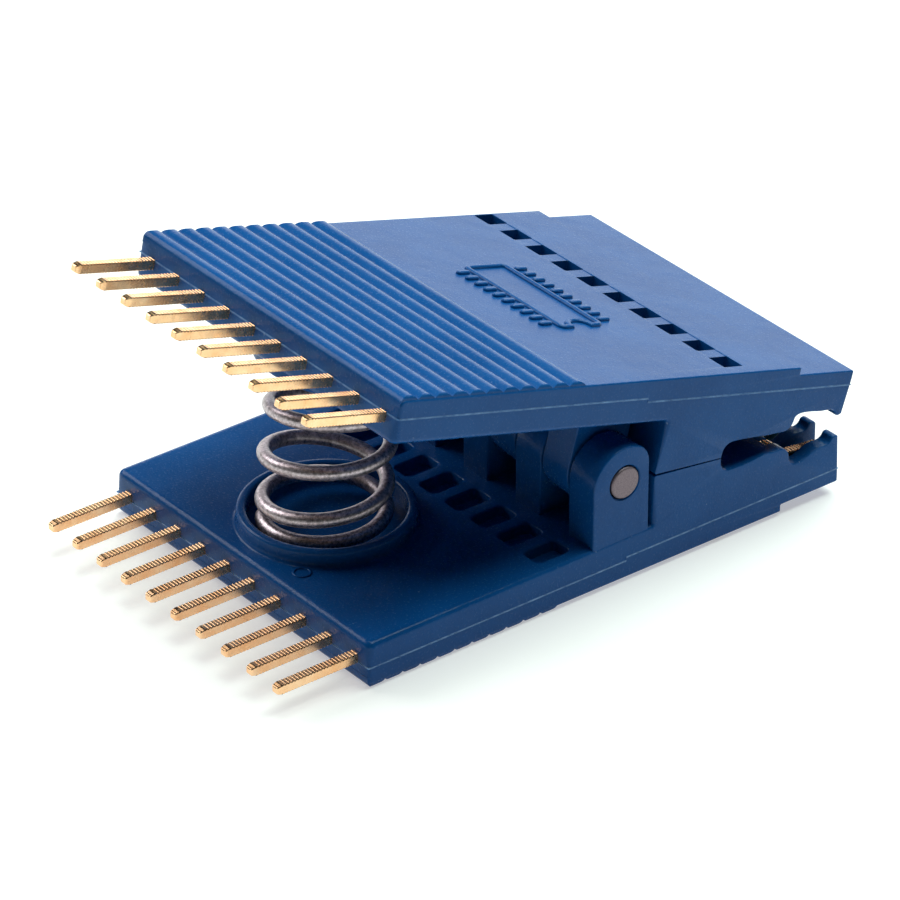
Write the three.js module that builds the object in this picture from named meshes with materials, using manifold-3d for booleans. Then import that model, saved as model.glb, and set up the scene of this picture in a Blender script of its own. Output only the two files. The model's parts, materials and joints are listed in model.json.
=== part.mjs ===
// Spring-loaded test clip for a 20-pin dual in-line package (0.3 inch rows, 0.1 inch pitch).
// Two identical moulded arms interleave their hinge lugs on one steel pin. A coil spring between
// the grips keeps the jaws shut. Ten gold contact wires run through each arm, from a serrated jaw
// pad at the front to a square terminal pin that stands out of the grip end.
//
// Millimetres, +Z up, +X towards the jaws, +Y along the pivot pin. The clip lies on the ribs of
// its lower arm, and the origin is at the middle of that footprint.
//
// Each arm is drawn in its own frame: X runs towards the jaw, Z towards the other arm, and the
// pivot axis is at the origin. The upper arm is the same arm, turned half round about X and then
// opened about the pivot.
import * as THREE from "three";
import { mergeVertices } from "three/addons/utils/BufferGeometryUtils.js";
import Module from "manifold-3d";

const wasm = await Module();
wasm.setup();

// ---- driving dimensions ------------------------------------------------------------------
const DEG = Math.PI / 180;
const CLOSED_ANGLE = 15.83 * DEG; // between the two arms with the jaws shut
const HALF_ANGLE = CLOSED_ANGLE / 2;
const PITCH = 2.54; // contact pitch
const CONTACTS = 10; // contacts in each arm
const WIDTH = 25.6; // arm width, along the pivot
const LUG_PITCH = WIDTH / CONTACTS;

const GRIP_X = -19.43; // grip end
const NOSE_X = 17.15; // jaw end
const INNER_Z = -3.85; // face towards the other arm
const OUTER_Z = -6.7; // flat outer face
const NOSE_STEP_X = 12.5; // the outer face steps in from here to the nose
const NOSE_OUTER_Z = -6.22;

const HEEL_X = 2.25; // jaw block starts here, just past the lugs
const MATE_GAP = 0.12; // between the jaw blocks when shut
const SLOT_START = 7.6; // slot between the jaw blocks, measured on their shared plane
const SLOT_DEPTH = 0.98; // half the height of that slot

const LUG_RADIUS = 2.4;
const LUG_FRONT_X = 1.9; // flat front of a lug
const LUG_SIDE_GAP = 0.08;
const PIVOT_RADIUS = 1.06;
const PIVOT_HOLE_RADIUS = 1.13;
const PIVOT_CHAMFER = 0.12;

const RIBS = 11;
const RIB_PITCH = 1.3;
const RIB_HEIGHT = 0.26;
const RIB_END_ROUND = 0.55;
const RIB_INSET = 0.12;

const WINDOW_X = 7.62; // centre of the row of windows in the outer face
const WINDOW_SIZE = 1.5;
const WINDOW_SHIFT = -0.4; // sideways from the contact row
const WINDOW_FLOOR_Z = -4.95;
const POCKET_X = -4.68; // centre of the row of pockets in the inner face
const POCKET_LENGTH = 2.5;
const POCKET_WIDTH = 1.55;
const POCKET_CORNER = 0.35;
const POCKET_FLOOR_Z = -4.6;

const WALL = 0.92; // insulating wall between contacts, and at each side of the jaw
const COMB_FLOOR = 2.42; // floor of the comb gaps below the shared plane

const WIRE = 0.64; // square contact wire
const WIRE_CLEARANCE = 0.08;
const TERMINAL_X = -25.27; // tip of a terminal pin
const TERMINAL_Z = -5.27;
const TERMINAL_TAPER = 0.35;

const SEAT_X = -12.8; // centre of the spring seat
const SEAT_RIM_RADIUS = 5.53;
const SEAT_FOOT_RADIUS = 5.72;
const SEAT_INNER_RADIUS = 4.9;
const SEAT_RIM_Z = -2.78;
const SEAT_FLOOR_Z = -3.97;

const SPRING_X = -13.0;
const SPRING_WIRE = 0.95;
const SPRING_RADIUS = 3.76; // to the middle of the wire
const SPRING_TURNS = 4.8;
const SPRING_END_PITCH = 1.03; // the end turns lie almost on each other
const SPRING_START = 142 * DEG;
const SPRING_SEAT_GAP = 0.05;
const SPRING_BLEND = 0.22; // turns over which the pitch changes

const ARC_STEPS = 4;
const RIB_STEPS = 3;
const RING_STEPS = 32;

// ---- colours -----------------------------------------------------------------------------
const blue = () => new THREE.MeshStandardMaterial({ color: 0x24589a, roughness: 0.55 });
const gold = () =>
  new THREE.MeshStandardMaterial({ color: 0xd9a860, roughness: 0.3, metalness: 1 });
const steel = () =>
  new THREE.MeshStandardMaterial({ color: 0xa9a09c, roughness: 0.4, metalness: 1 });
const springSteel = () =>
  new THREE.MeshStandardMaterial({ color: 0x6f6862, roughness: 0.45, metalness: 1 });

// ---- solids ------------------------------------------------------------------------------
// A closed three.js geometry as a solid that can be joined and cut.
function solid(geometry) {
  const bare = geometry.clone();
  bare.deleteAttribute("normal");
  bare.deleteAttribute("uv");
  const merged = mergeVertices(bare, 1e-4);
  return new wasm.Manifold(
    new wasm.Mesh({
      numProp: 3,
      vertProperties: new Float32Array(merged.attributes.position.array),
      triVerts: new Uint32Array(merged.index.array),
    }),
  );
}

// A solid back as a three.js geometry with flat facets.
function geometryOf(made) {
  const mesh = made.getMesh();
  const points = new Float32Array(mesh.numVert * 3);
  for (let i = 0; i < mesh.numVert; i++) {
    const from = i * mesh.numProp;
    points.set(mesh.vertProperties.subarray(from, from + 3), i * 3);
  }
  const geometry = new THREE.BufferGeometry();
  geometry.setAttribute("position", new THREE.BufferAttribute(points, 3));
  geometry.setIndex(new THREE.BufferAttribute(new Uint32Array(mesh.triVerts), 1));
  const flat = geometry.toNonIndexed();
  flat.computeVertexNormals();
  return flat;
}

// A side outline in X and Z, drawn out along Y between two values.
function slab(shape, yLow, yHigh, curveSegments = ARC_STEPS) {
  const options = { depth: yHigh - yLow, bevelEnabled: false, curveSegments };
  const geometry = new THREE.ExtrudeGeometry(shape, options);
  geometry.rotateX(Math.PI / 2);
  geometry.translate(0, yHigh, 0);
  return geometry;
}

function outline(points) {
  return new THREE.Shape(points.map(([x, z]) => new THREE.Vector2(x, z)));
}

function block(xLow, xHigh, yLow, yHigh, zLow, zHigh) {
  const geometry = new THREE.BoxGeometry(xHigh - xLow, yHigh - yLow, zHigh - zLow);
  geometry.translate((xLow + xHigh) / 2, (yLow + yHigh) / 2, (zLow + zHigh) / 2);
  return geometry;
}

// Middle of a contact column across the arm.
const columnY = (index) => (index - (CONTACTS - 1) / 2) * PITCH;

// A point given on the shared plane of the shut jaws (along it, and below it) in arm X and Z.
function fromJawPlane(along, below) {
  const c = Math.cos(HALF_ANGLE);
  const s = Math.sin(HALF_ANGLE);
  return [along * c - below * s, -along * s - below * c];
}

// ---- arm ---------------------------------------------------------------------------------
// The arm from the side, up to a height above anything that the jaw has.
function armEnvelope() {
  const high = 3;
  return outline([
    [GRIP_X, OUTER_Z],
    [NOSE_STEP_X, OUTER_Z],
    [NOSE_STEP_X, NOSE_OUTER_Z],
    [NOSE_X, NOSE_OUTER_Z],
    [NOSE_X, high],
    [HEEL_X, high],
    [HEEL_X, INNER_Z],
    [GRIP_X, INNER_Z],
  ]);
}

// The jaw's edge in a wall, in coordinates of the shared plane. It runs along the mating face,
// round the end of the slot, along the slot to a lip, down into the mouth and out to a hook.
function jawEdge(lip, mouthDeep, mouthShallow, hookDepth) {
  const low = -14;
  const mate = -MATE_GAP / 2;
  const edge = new THREE.Shape();
  edge.moveTo(-25, low);
  edge.lineTo(-25, mate);
  edge.lineTo(SLOT_START, mate);
  edge.quadraticCurveTo(SLOT_START, -SLOT_DEPTH, SLOT_START + 0.9, -SLOT_DEPTH);
  edge.lineTo(9.4, -SLOT_DEPTH * 0.95);
  edge.lineTo(11.2, -lip - 0.08);
  edge.lineTo(12.6, -lip);
  edge.quadraticCurveTo(13.25, -lip - 0.1, 13.35, -lip - 0.75);
  edge.quadraticCurveTo(13.45, -mouthDeep, 13.95, -mouthDeep);
  edge.quadraticCurveTo(14.5, -mouthDeep + 0.02, 15.0, -(mouthDeep + mouthShallow) / 2);
  edge.quadraticCurveTo(15.5, -mouthShallow, 16.2, -mouthShallow);
  edge.quadraticCurveTo(16.68, -mouthShallow + 0.05, 16.78, -hookDepth - 0.12);
  edge.quadraticCurveTo(17.0, -hookDepth + 0.06, 17.28, -hookDepth - 0.12);
  edge.lineTo(17.5, -hookDepth - 0.45);
  edge.lineTo(19, -hookDepth - 0.45);
  edge.lineTo(19, low);
  return edge;
}

// Wall outlines: most walls, and the wall on the side without an outer lug, whose hook is short.
const longHook = () => jawEdge(0.46, 1.74, 1.02, 0.45);
const shortHook = () => jawEdge(0.7, 1.7, 1.45, 0.86);

function jawCut(edge, yLow, yHigh) {
  return solid(slab(edge, yLow, yHigh).rotateY(HALF_ANGLE));
}

// Jaw block and grip plate: the side envelope, kept only below the jaw's edge.
function bodySolid() {
  const half = WIDTH / 2;
  const envelope = solid(slab(armEnvelope(), -half, half));
  const split = half - WALL;
  const walls = jawCut(longHook(), -half - 1, split).add(jawCut(shortHook(), split, half + 1));
  return envelope.intersect(walls);
}

// Space between two insulating walls, in which one contact lies.
function combGap(index) {
  const y = columnY(index);
  const reach = (PITCH - WALL) / 2;
  const shape = new THREE.Shape();
  shape.moveTo(12.1, 1);
  shape.lineTo(12.1, -0.92);
  shape.lineTo(12.9, -0.98);
  shape.quadraticCurveTo(13.35, -1.2, 13.45, -COMB_FLOOR);
  shape.lineTo(20, -COMB_FLOOR);
  shape.lineTo(20, 1);
  return solid(slab(shape, y - reach, y + reach).rotateY(HALF_ANGLE));
}

function lug(index) {
  const half = WIDTH / 2;
  const low = index * LUG_PITCH - half;
  const yLow = index === 0 ? -half : low + LUG_SIDE_GAP;
  const shape = new THREE.Shape();
  const frontAngle = Math.acos(LUG_FRONT_X / LUG_RADIUS);
  shape.moveTo(LUG_FRONT_X, INNER_Z - 0.5);
  shape.lineTo(LUG_FRONT_X, LUG_RADIUS * Math.sin(frontAngle));
  shape.absarc(0, 0, LUG_RADIUS, frontAngle, Math.PI, false);
  shape.lineTo(-LUG_RADIUS, INNER_Z - 0.5);
  return solid(slab(shape, yLow, low + LUG_PITCH - LUG_SIDE_GAP));
}

function pivotHole() {
  const r = PIVOT_HOLE_RADIUS;
  return solid(new THREE.CylinderGeometry(r, r, WIDTH + 2, RING_STEPS));
}

// Ribs across the outer face of the grip, rounded along their crests and down at their ends.
function ribSolid() {
  const half = WIDTH / 2 - RIB_INSET;
  const sunk = OUTER_Z + 0.3;
  const radius = (RIB_PITCH ** 2 / 4 + RIB_HEIGHT ** 2) / (2 * RIB_HEIGHT);
  const centre = OUTER_Z - RIB_HEIGHT + radius;
  const spread = Math.asin(RIB_PITCH / 2 / radius);
  const crests = new THREE.Shape();
  crests.moveTo(GRIP_X, sunk);
  crests.lineTo(GRIP_X, OUTER_Z);
  for (let i = 0; i < RIBS; i++) {
    const x = GRIP_X + (i + 0.5) * RIB_PITCH;
    const middle = -Math.PI / 2;
    crests.absarc(x, centre, radius, middle - spread, middle + spread, false);
  }
  crests.lineTo(GRIP_X + RIBS * RIB_PITCH, sunk);
  const crest = OUTER_Z - RIB_HEIGHT - 0.05;
  const ends = new THREE.Shape();
  ends.moveTo(-half, sunk + 0.1);
  ends.lineTo(-half, OUTER_Z);
  ends.quadraticCurveTo(-half, crest, -half + RIB_END_ROUND, crest);
  ends.lineTo(half - RIB_END_ROUND, crest);
  ends.quadraticCurveTo(half, crest, half, OUTER_Z);
  ends.lineTo(half, sunk + 0.1);
  const lengthwise = slab(ends, -60, 60, RIB_STEPS).rotateZ(Math.PI / 2);
  const across = slab(crests, -half - 1, half + 1, RIB_STEPS);
  return solid(across).intersect(solid(lengthwise));
}

// Raised ring round the spring, and the flat that its end turn stands on.
function seatRing() {
  const foot = INNER_Z - 0.2;
  const profile = [
    [SEAT_INNER_RADIUS, foot],
    [SEAT_FOOT_RADIUS, foot],
    [SEAT_FOOT_RADIUS, INNER_Z],
    [SEAT_RIM_RADIUS, INNER_Z + 0.35],
    [SEAT_RIM_RADIUS, SEAT_RIM_Z],
    [SEAT_INNER_RADIUS, SEAT_RIM_Z],
    [SEAT_INNER_RADIUS, foot],
  ];
  const ring = new THREE.LatheGeometry(profile.map(([r, z]) => new THREE.Vector2(r, z)), RING_STEPS);
  return solid(ring.rotateX(Math.PI / 2).translate(SEAT_X, 0, 0));
}

function seatRecess() {
  const depth = INNER_Z + 0.5 - SEAT_FLOOR_Z;
  const r = SEAT_INNER_RADIUS;
  const disc = new THREE.CylinderGeometry(r, r, depth, RING_STEPS);
  return solid(disc.rotateX(Math.PI / 2).translate(SEAT_X, 0, SEAT_FLOOR_Z + depth / 2));
}

function window(index) {
  const y = columnY(index) + WINDOW_SHIFT;
  const r = WINDOW_SIZE / 2;
  return solid(block(WINDOW_X - r, WINDOW_X + r, y - r, y + r, OUTER_Z - 1, WINDOW_FLOOR_Z));
}

function pocket(index) {
  const a = POCKET_LENGTH / 2;
  const b = POCKET_WIDTH / 2;
  const r = POCKET_CORNER;
  const shape = new THREE.Shape();
  shape.moveTo(-a + r, -b);
  shape.absarc(a - r, -b + r, r, -Math.PI / 2, 0, false);
  shape.absarc(a - r, b - r, r, 0, Math.PI / 2, false);
  shape.absarc(-a + r, b - r, r, Math.PI / 2, Math.PI, false);
  shape.absarc(-a + r, -b + r, r, Math.PI, Math.PI * 1.5, false);
  const options = { depth: 2, bevelEnabled: false, curveSegments: 2 };
  const geometry = new THREE.ExtrudeGeometry(shape, options);
  return solid(geometry.translate(POCKET_X, columnY(index) - WINDOW_SHIFT, POCKET_FLOOR_Z));
}

// ---- contact wire ------------------------------------------------------------------------
// Middle line of a wire from its terminal tip through the arm, over a knee in the jaw slot and
// down onto the comb floor, where it ends under the hook.
function wirePath(tip) {
  return [
    [tip, TERMINAL_Z],
    [1.6, TERMINAL_Z],
    fromJawPlane(11.9, 1.0),
    fromJawPlane(12.35, 0.66),
    fromJawPlane(12.8, 0.72),
    fromJawPlane(13.55, 1.75),
    fromJawPlane(14.1, 2.08),
    fromJawPlane(16.85, 2.02),
  ];
}

// A band of even thickness along a middle line.
function band(path, halfThickness) {
  const points = path.map(([x, z]) => new THREE.Vector2(x, z));
  const upper = [];
  const lower = [];
  points.forEach((point, i) => {
    const before = points[Math.max(i - 1, 0)];
    const after = points[Math.min(i + 1, points.length - 1)];
    const into = i ? point.clone().sub(before).normalize() : null;
    const out = i < points.length - 1 ? after.clone().sub(point).normalize() : null;
    const run = (into || out).clone().add(out || into).normalize();
    const stretch = halfThickness / run.dot(into || out);
    const across = new THREE.Vector2(-run.y, run.x).multiplyScalar(stretch);
    upper.push(point.clone().add(across));
    lower.push(point.clone().sub(across));
  });
  return new THREE.Shape([...lower, ...upper.reverse()]);
}

function wireChannel(index) {
  const y = columnY(index);
  const reach = WIRE / 2 + WIRE_CLEARANCE;
  const path = wirePath(GRIP_X - 1);
  const last = fromJawPlane(18.5, 2.0);
  return solid(slab(band([...path.slice(0, -1), last], reach), y - reach, y + reach));
}

// One wire, with its terminal tip pinched in on all four sides.
function contactGeometry() {
  const half = WIRE / 2;
  const straight = solid(slab(band(wirePath(TERMINAL_X + TERMINAL_TAPER), half), -half, half));
  const tip = new THREE.CylinderGeometry(half * Math.SQRT2 * 0.5, half * Math.SQRT2, 1, 4);
  tip.scale(1, TERMINAL_TAPER, 1);
  tip.rotateY(Math.PI / 4);
  tip.rotateZ(Math.PI / 2);
  tip.translate(TERMINAL_X + TERMINAL_TAPER / 2, 0, TERMINAL_Z);
  return geometryOf(straight.add(solid(tip)));
}

// ---- spring ------------------------------------------------------------------------------
// The two seats stand at an angle, so the turns fan out about the line where the planes of the
// two end turns meet.
class FannedCoil extends THREE.Curve {
  constructor() {
    super();
    this.endZ = SEAT_FLOOR_Z + SPRING_WIRE / 2 + SPRING_SEAT_GAP;
    this.hingeX = -this.endZ / Math.tan(HALF_ANGLE);
    this.rise = (this.hingeX - SPRING_X) * CLOSED_ANGLE;
    const active = SPRING_TURNS - 2;
    this.pitch = (this.rise - 2 * SPRING_END_PITCH) / active;
  }

  // Grows from nought to x, rounded off over the blend on each side of nought.
  static ramp(x) {
    if (x <= -SPRING_BLEND) return 0;
    if (x >= SPRING_BLEND) return x;
    return (x + SPRING_BLEND) ** 2 / (4 * SPRING_BLEND);
  }

  getPoint(t, target = new THREE.Vector3()) {
    const turn = t * SPRING_TURNS;
    const extra = FannedCoil.ramp(turn - 1) - FannedCoil.ramp(turn - (SPRING_TURNS - 1));
    const height = SPRING_END_PITCH * turn + (this.pitch - SPRING_END_PITCH) * extra;
    const fan = (height / this.rise) * CLOSED_ANGLE;
    const angle = SPRING_START + 2 * Math.PI * turn;
    const arm = SPRING_X + SPRING_RADIUS * Math.cos(angle) - this.hingeX;
    return target.set(
      this.hingeX + arm * Math.cos(fan),
      SPRING_RADIUS * Math.sin(angle),
      this.endZ - arm * Math.sin(fan),
    );
  }
}

function springGeometry() {
  const section = new THREE.Shape();
  section.absarc(0, 0, SPRING_WIRE / 2, 0, 2 * Math.PI, false);
  return new THREE.ExtrudeGeometry(section, {
    steps: 100,
    curveSegments: 4,
    extrudePath: new FannedCoil(),
  });
}

// ---- pivot pin ---------------------------------------------------------------------------
function pivotGeometry() {
  const end = WIDTH / 2 - 0.02;
  const profile = [
    [0, -end],
    [PIVOT_RADIUS - PIVOT_CHAMFER, -end],
    [PIVOT_RADIUS, -end + PIVOT_CHAMFER],
    [PIVOT_RADIUS, end - PIVOT_CHAMFER],
    [PIVOT_RADIUS - PIVOT_CHAMFER, end],
    [0, end],
  ];
  return new THREE.LatheGeometry(profile.map(([r, y]) => new THREE.Vector2(r, y)), 28);
}

function armGeometry() {
  let arm = bodySolid().add(ribSolid()).add(seatRing());
  for (let i = 0; i < CONTACTS; i += 2) arm = arm.add(lug(i));
  arm = arm.subtract(pivotHole()).subtract(seatRecess());
  for (let i = 0; i < CONTACTS; i++) {
    for (const cut of [combGap(i), window(i), pocket(i), wireChannel(i)]) {
      arm = arm.subtract(cut);
    }
  }
  return geometryOf(arm);
}

// ---- assembly ----------------------------------------------------------------------------
// Foremost and rearmost points decide where the origin lies under the clip.
function pivotPlace() {
  const rear = TERMINAL_X;
  const nose = NOSE_X * Math.cos(CLOSED_ANGLE) - NOSE_OUTER_Z * Math.sin(CLOSED_ANGLE);
  return [-(rear + nose) / 2, 0, RIB_HEIGHT - OUTER_Z];
}

function piece(name, geometry, material) {
  const mesh = new THREE.Mesh(geometry, material);
  mesh.name = name;
  return mesh;
}

function armGroup(prefix, geometry, wire) {
  const group = new THREE.Group();
  group.add(piece(prefix + "_arm", geometry, blue()));
  for (let i = 0; i < CONTACTS; i++) {
    const label = String(i + 1).padStart(2, "0");
    const contact = piece(prefix + "_contact_" + label, wire, gold());
    contact.position.y = columnY(i);
    group.add(contact);
  }
  return group;
}

const arm = armGeometry();
const wire = contactGeometry();

const clip = new THREE.Group();
clip.position.set(...pivotPlace());
clip.add(armGroup("lower", arm, wire));
clip.add(piece("pivot_pin", pivotGeometry(), steel()));
clip.add(piece("spring", springGeometry(), springSteel()));

const flipped = armGroup("upper", arm, wire);
flipped.rotation.x = Math.PI;
const opened = new THREE.Group();
opened.rotation.y = CLOSED_ANGLE;
opened.add(flipped);
clip.add(opened);

const root = new THREE.Group();
root.add(clip);

export default root;
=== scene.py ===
import json
import math

import bmesh
import bpy
from mathutils import Matrix, Vector


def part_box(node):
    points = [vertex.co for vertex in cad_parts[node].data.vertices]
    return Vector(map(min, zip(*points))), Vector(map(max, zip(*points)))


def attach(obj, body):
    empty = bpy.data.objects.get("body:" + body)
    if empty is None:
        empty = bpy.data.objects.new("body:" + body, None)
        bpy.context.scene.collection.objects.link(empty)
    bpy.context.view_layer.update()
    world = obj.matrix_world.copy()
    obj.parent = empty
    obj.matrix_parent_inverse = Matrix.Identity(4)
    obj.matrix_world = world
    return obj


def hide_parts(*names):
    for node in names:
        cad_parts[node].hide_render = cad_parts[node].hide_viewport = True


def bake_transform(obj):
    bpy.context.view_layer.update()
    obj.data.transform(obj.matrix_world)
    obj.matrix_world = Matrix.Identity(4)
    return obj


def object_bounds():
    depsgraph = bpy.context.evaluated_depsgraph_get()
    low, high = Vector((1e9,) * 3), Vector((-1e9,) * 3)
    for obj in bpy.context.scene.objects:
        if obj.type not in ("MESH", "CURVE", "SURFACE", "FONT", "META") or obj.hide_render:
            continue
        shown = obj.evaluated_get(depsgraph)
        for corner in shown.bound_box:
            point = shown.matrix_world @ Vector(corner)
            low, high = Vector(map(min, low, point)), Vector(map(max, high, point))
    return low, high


# Looks of a spring-loaded 20-pin test clip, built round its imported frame.
#
# Until a mesh is finished its lengths are millimetres in an arm's own frame: X runs to the jaw, Z to
# the other arm, and the pivot axis is at the origin. Both arms are the same moulding.

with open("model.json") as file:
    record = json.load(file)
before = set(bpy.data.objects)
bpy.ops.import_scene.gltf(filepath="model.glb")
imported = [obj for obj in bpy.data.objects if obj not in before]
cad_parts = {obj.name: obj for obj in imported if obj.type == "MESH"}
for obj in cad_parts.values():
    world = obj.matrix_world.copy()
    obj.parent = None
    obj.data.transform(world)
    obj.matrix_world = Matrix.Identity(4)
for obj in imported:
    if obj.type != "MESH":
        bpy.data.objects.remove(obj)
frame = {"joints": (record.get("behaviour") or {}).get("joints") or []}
CAD_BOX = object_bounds()

MM = 0.001
HAIR = 0.002  # points closer together than this are one point
PIVOT = Vector(frame["joints"][0]["pos_m"])


def arm_box(node):
    """A node's lowest and highest corners in the lower arm's frame."""
    low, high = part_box(node)
    return (low - PIVOT) / MM, (high - PIVOT) / MM


# ---- sizes of the frame --------------------------------------------------------------------
ARM_LOW, ARM_HIGH = arm_box("lower_arm")
WIRE_LOW, WIRE_HIGH = arm_box("lower_contact_01")
PIN_HIGH = arm_box("pivot_pin")[1]

CLOSED_ANGLE = math.radians(15.83)
HALF_ANGLE = CLOSED_ANGLE / 2
CONTACTS = 10
PITCH = 2.54
GRIP_X = ARM_LOW.x
NOSE_X = ARM_HIGH.x
HALF_WIDTH = ARM_HIGH.y
RIB_HEIGHT = 0.26
OUTER_Z = ARM_LOW.z + RIB_HEIGHT
INNER_Z = -3.85
NOSE_STEP_X = 12.5
NOSE_OUTER_Z = -6.22
HEEL_X = 2.25
SLOT_START = 7.6
SLOT_DEPTH = 0.98
COMB_START = 12.1
COMB_FLOOR = 2.42
WALL = 0.92

LUG_PITCH = 2 * HALF_WIDTH / CONTACTS
LUG_RADIUS = 2.4
LUG_FRONT_X = 1.9
LUG_SIDE_GAP = 0.08
LUG_SETBACK = 0.1  # of the end lug, from the arm's side
PIVOT_HOLE_RADIUS = 1.13

RIBS = 11
RIB_PITCH = 1.3
RIB_INSET = 0.12
RIB_END_ROUND = 0.55

WINDOW_X = 7.62
WINDOW_SIZE = 1.5
WINDOW_SHIFT = -0.4
WINDOW_FLOOR_Z = -4.95
WINDOW_BAND_DEPTH = 0.03
POCKET_X = -4.68
POCKET_LENGTH = 2.5
POCKET_WIDTH = 1.55
POCKET_FLOOR_Z = -4.6

SEAT_X = -12.8
SEAT_INNER_RADIUS = 4.9
SEAT_RIM_RADIUS = 5.53
SEAT_FOOT_RADIUS = 5.72
SEAT_RIM_Z = -2.78
SEAT_FLOOR_Z = -3.97

WIRE = WIRE_HIGH.y - WIRE_LOW.y
TERMINAL_X = WIRE_LOW.x
TERMINAL_Z = -5.27

SPRING_X = -13.0
SPRING_WIRE = 0.95
SPRING_RADIUS = 3.76
SPRING_TURNS = 4.8
SPRING_END_PITCH = 1.03
SPRING_START = math.radians(142)
SPRING_SEAT_GAP = 0.05
SPRING_BLEND = 0.22  # part of a turn over which an end turn's pitch changes
SPRING_END_TAPER = 0.09

# ---- sizes that only the looks need --------------------------------------------------------
FLASH_PROUD = 0.03  # the parting line stands this far out of the sides
FLASH_THICK = 0.09
FLASH_GRIP_Z = -5.52
FLASH_JAW_Z = -5.28
FLASH_STEP_X = 0.15
SIDE = HALF_WIDTH - FLASH_PROUD
GRIP_FILLET = 0.45  # round the grip's edge on the inner face
EDGE = 0.1  # rounding of the moulding's outer rims
CRISP = 0.035
FINE = 0.02
MATE_GAP = 0.05  # between the two jaw blocks when shut

LONG_HOOK = (0.46, 1.74, 1.02, 0.45)  # depths of the lip, mouth's rear, mouth's front and hook
SHORT_HOOK = (0.7, 1.7, 1.45, 0.86)
HOOK_STOP = 0.06  # from the hook to the nose face
WALL_RIM = 0.09
WALL_SETBACK = 0.004  # keeps the walls' noses off the body's nose face
WALL_SUNK = 0.3  # the walls reach this far under the comb's floor

LUG_SHOULDER = math.radians(54)  # where the lug's flat front turns into its round top
LUG_BEND_Z = 0.8
LUG_SUNK = 0.7
HOLE_MOUTH = 0.07
SEAT_STEPS = 96

TOOTH = 0.235  # one serration of a contact
TOOTH_DEPTH = 0.055
TOOTH_CREST = 0.12
TOOTH_ROOT = 0.2  # the pin's teeth run on this far into the moulding
TOOTHED_END = 5.2  # length of wire with teeth at the jaw
TIP_LENGTH = 0.4
WIRE_CORNER = 0.045

CAVITY_X = -17.65  # the cavity ring
CAVITY_Y = -3.95
CAVITY_HEIGHT = 0.08

MARK_X = 1.25  # the package mark
MARK_HEIGHT = 0.19
MARK_STROKE = 0.4
MARK_BODY = (3.1, 9.4)
MARK_CORNER = 0.3
MARK_NOTCH = 0.85
MARK_LEAD = (1.0, 0.42)
MARK_LEAD_CORNER = 0.19
MARK_LEAD_RIM = 0.12

ARM_SHARP = 33  # degrees: steeper edges are shaded sharp
WIRE_SHARP = 13
SPRING_SHARP = 50
PIN_SHARP = 40

LOWER_FRAME = Matrix.Translation(PIVOT)
UPPER_FRAME = (
    Matrix.Translation(PIVOT)
    @ Matrix.Rotation(CLOSED_ANGLE, 4, "Y")
    @ Matrix.Rotation(math.pi, 4, "X")
)


def column_y(index):
    """Middle of a contact column across the arm."""
    return (index - (CONTACTS - 1) / 2) * PITCH


def from_jaw_plane(along, below):
    """A point given on the shared plane of the shut jaws (along it, and below it) in arm X and Z."""
    c = math.cos(HALF_ANGLE)
    s = math.sin(HALF_ANGLE)
    return along * c - below * s, -along * s - below * c


# ---- outlines ------------------------------------------------------------------------------
def bend(start, corner, end, steps=8):
    """Points of a quadratic curve after its start."""
    points = []
    for k in range(1, steps + 1):
        t = k / steps
        a, b, c = (1 - t) ** 2, 2 * t * (1 - t), t * t
        points.append(tuple(a * p + b * q + c * r for p, q, r in zip(start, corner, end)))
    return points


def filleted(corners, arc_steps=6):
    """A closed outline from (x, z, fillet radius, rim radius) corners, as (x, z, rim) points."""
    outline = []
    count = len(corners)
    for i, (x, z, fillet, rim) in enumerate(corners):
        here = Vector((x, z))
        back = Vector(corners[i - 1][:2]) - here
        on = Vector(corners[(i + 1) % count][:2]) - here
        if not fillet:
            outline.append((x, z, rim))
            continue
        half = back.angle(on) / 2
        reach = min(fillet / math.tan(half), back.length * 0.49, on.length * 0.49)
        start = here + back.normalized() * reach
        end = here + on.normalized() * reach
        radius = reach * math.tan(half)
        centre = here + (back.normalized() + on.normalized()).normalized() * radius / math.sin(half)
        first = start - centre
        sweep = first.angle_signed(end - centre)
        for k in range(arc_steps + 1):
            turned = first.copy()
            turned.rotate(Matrix.Rotation(-sweep * k / arc_steps, 2))
            outline.append((*(centre + turned), rim))
    return outline


def clean(points, least=0.004):
    """The same closed run of points without any that lie on the one before."""
    kept = [points[0]]
    for point in points[1:]:
        if math.dist(point[:2], kept[-1][:2]) > least:
            kept.append(point)
    if math.dist(kept[0][:2], kept[-1][:2]) <= least:
        kept.pop()
    return kept


def inward(points):
    """For each corner of a closed outline, the step that moves both its edges in by one."""
    count = len(points)
    area = sum(
        points[i - 1][0] * points[i][1] - points[i][0] * points[i - 1][1] for i in range(count)
    )
    side = 1 if area > 0 else -1
    steps = []
    for i in range(count):
        here = Vector(points[i][:2])
        before = (here - Vector(points[i - 1][:2])).normalized()
        after = (Vector(points[(i + 1) % count][:2]) - here).normalized()
        first = Vector((-before.y, before.x)) * side
        second = Vector((-after.y, after.x)) * side
        steps.append((first + second) / max(1 + first.dot(second), 0.3))
    return steps


def round_rect(x, y, length, width, corner, steps=4):
    """A rounded rectangle in plan, as (x, y) points."""
    a, b = length / 2 - corner, width / 2 - corner
    points = []
    for k, (sx, sy) in enumerate(((1, 1), (-1, 1), (-1, -1), (1, -1))):
        for step in range(steps + 1):
            angle = (k + step / steps) * math.pi / 2
            px = x + sx * a + corner * math.cos(angle)
            py = y + sy * b + corner * math.sin(angle)
            points.append((px, py))
    return points


# ---- meshes --------------------------------------------------------------------------------
def new_object(name, mesh):
    obj = bpy.data.objects.new(name, mesh)
    bpy.context.scene.collection.objects.link(obj)
    return obj


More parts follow.
